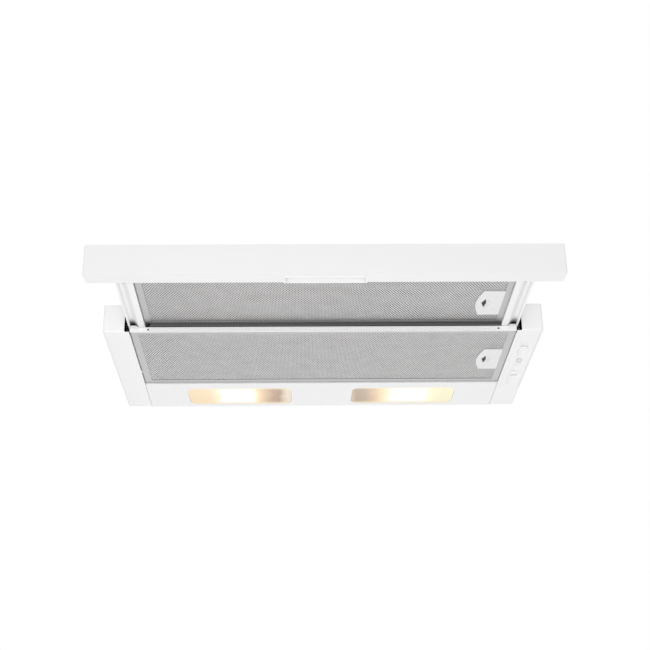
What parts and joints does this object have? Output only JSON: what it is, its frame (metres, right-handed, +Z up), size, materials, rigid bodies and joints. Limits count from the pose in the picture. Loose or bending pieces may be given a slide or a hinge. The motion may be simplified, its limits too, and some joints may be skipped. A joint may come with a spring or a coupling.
{
  "type": "under cabinet range hood",
  "caption": "Slim under cabinet range hood with a pull-out visor, washable grease filters, lamp covers, slide controls and a duct collar on its motor box.",
  "frame": {"origin": "centre of the cabinet screw holes, in the plane where the flat body meets the cabinet", "axes": "+Z up, +X to the right of someone facing the hood, +Y towards the wall; the visor pulls out towards -Y"},
  "size_m": [0.598, 0.448, 0.1916],
  "materials": {
    "white_paint": "satin white enamel",
    "white_plastic": "fine satin moulding",
    "nylon": "natural nylon",
    "filter_aluminium": "mill",
    "filter_mesh": "expanded mesh",
    "frosted_cover": "frosted",
    "reflector": "bright",
    "ceramic": "glazed",
    "bulb_glass": "opal",
    "black_plastic": "satin",
    "zinc_steel": "zinc plated",
    "can_aluminium": "drawn",
    "rubber": "matt"
  },
  "bodies": {
    "hood": {"base_chassis": "white_paint", "blower_casing_left": "black_plastic", "blower_casing_right": "black_plastic", "boost_switch": "black_plastic", "bracket_posts": "zinc_steel", "bulb_left": "bulb_glass", "bulb_right": "bulb_glass", "cable_grommet": "rubber", "capacitor": "can_aluminium", "capacitor_strap": "zinc_steel", "control_plate": "white_plastic", "flap_pin": "zinc_steel", "front_crossbar": "white_paint", "front_guide_left": "nylon", "front_guide_right": "nylon", "lamp_cover_left": "frosted_cover", "lamp_cover_right": "frosted_cover", "lamp_holder_left": "ceramic", "lamp_holder_right": "ceramic", "lamp_reflector_left": "reflector", "lamp_reflector_right": "reflector", "left_side_cap": "white_plastic", "light_panel": "white_paint", "light_switch": "black_plastic", "motor_body": "zinc_steel", "motor_box": "zinc_steel", "motor_box_end_left": "zinc_steel", "motor_box_end_right": "zinc_steel", "motor_bracket": "zinc_steel", "outlet_collar": "black_plastic", "right_side_cap": "white_plastic", "rubber_mounts": "rubber", "speed_switch": "black_plastic", "terminal_box": "black_plastic", "visor_switch": "black_plastic"},
    "visor": {"front_panel": "white_paint", "panel_back_plate": "white_paint", "pull_grip": "white_plastic", "rail_left": "white_plastic", "rail_right": "white_plastic", "visor_cover": "white_paint", "rear_glide_left": "nylon", "rear_glide_right": "nylon", "panel_screws": "zinc_steel"},
    "visor_filter": {"visor_filter_frame": "filter_aluminium", "visor_filter_mesh": "filter_mesh"},
    "visor_latch": {"visor_filter_latch": "white_plastic"},
    "body_filter": {"body_filter_frame": "filter_aluminium", "body_filter_mesh": "filter_mesh"},
    "body_latch": {"body_filter_latch": "white_plastic"},
    "light_control": {"light_knob": "white_plastic"},
    "boost_control": {"boost_knob": "white_plastic"},
    "speed_control": {"speed_knob": "white_plastic"},
    "fan": {"impeller": "black_plastic", "motor_shaft": "zinc_steel"},
    "left_flap": {"flap_left": "black_plastic"},
    "right_flap": {"flap_right": "black_plastic"},
    "lever": {"switch_lever": "black_plastic"}
  },
  "joints": [
    {"name": "visor_slide", "type": "slide", "parent": "hood", "child": "visor", "axis": [0, 1, 0], "range_m": [0, 0.142]},
    {"name": "visor_filter_swing", "type": "hinge", "parent": "visor", "child": "visor_filter", "pos_m": [-0.2389, -0.2115, -0.027], "axis": [0, -1, 0], "range_deg": [-45, 0]},
    {"name": "visor_latch_slide", "type": "slide", "parent": "visor_filter", "child": "visor_latch", "axis": [1, 0, 0], "range_m": [-0.006, 0], "stiffness_N_per_m": 300},
    {"name": "body_filter_swing", "type": "hinge", "parent": "hood", "child": "body_filter", "pos_m": [-0.2604, -0.045, -0.036], "axis": [0, -1, 0], "range_deg": [-45, 0]},
    {"name": "body_latch_slide", "type": "slide", "parent": "body_filter", "child": "body_latch", "axis": [1, 0, 0], "range_m": [-0.006, 0], "stiffness_N_per_m": 300},
    {"name": "light_control_slide", "type": "slide", "parent": "hood", "child": "light_control", "axis": [0, 1, 0], "range_m": [0, 0.01]},
    {"name": "boost_control_slide", "type": "slide", "parent": "hood", "child": "boost_control", "axis": [0, 1, 0], "range_m": [0, 0.008]},
    {"name": "speed_control_slide", "type": "slide", "parent": "hood", "child": "speed_control", "axis": [0, 1, 0], "range_m": [0, 0.024]},
    {"name": "fan_spin", "type": "hinge", "parent": "hood", "child": "fan", "pos_m": [0, 0, 0.062], "axis": [1, 0, 0], "continuous": true},
    {"name": "left_flap_swing", "type": "hinge", "parent": "hood", "child": "left_flap", "pos_m": [0, 0.035, 0.127], "axis": [0, 1, 0], "range_deg": [0, 80]},
    {"name": "right_flap_swing", "type": "hinge", "parent": "hood", "child": "right_flap", "pos_m": [0, 0.035, 0.127], "axis": [0, -1, 0], "range_deg": [0, 80]},
    {"name": "lever_swing", "type": "hinge", "parent": "hood", "child": "lever", "pos_m": [0.231, 0.0435, -0.008], "axis": [1, 0, 0], "range_deg": [0, 12], "stiffness_Nm_per_rad": 0.02}
  ]
}
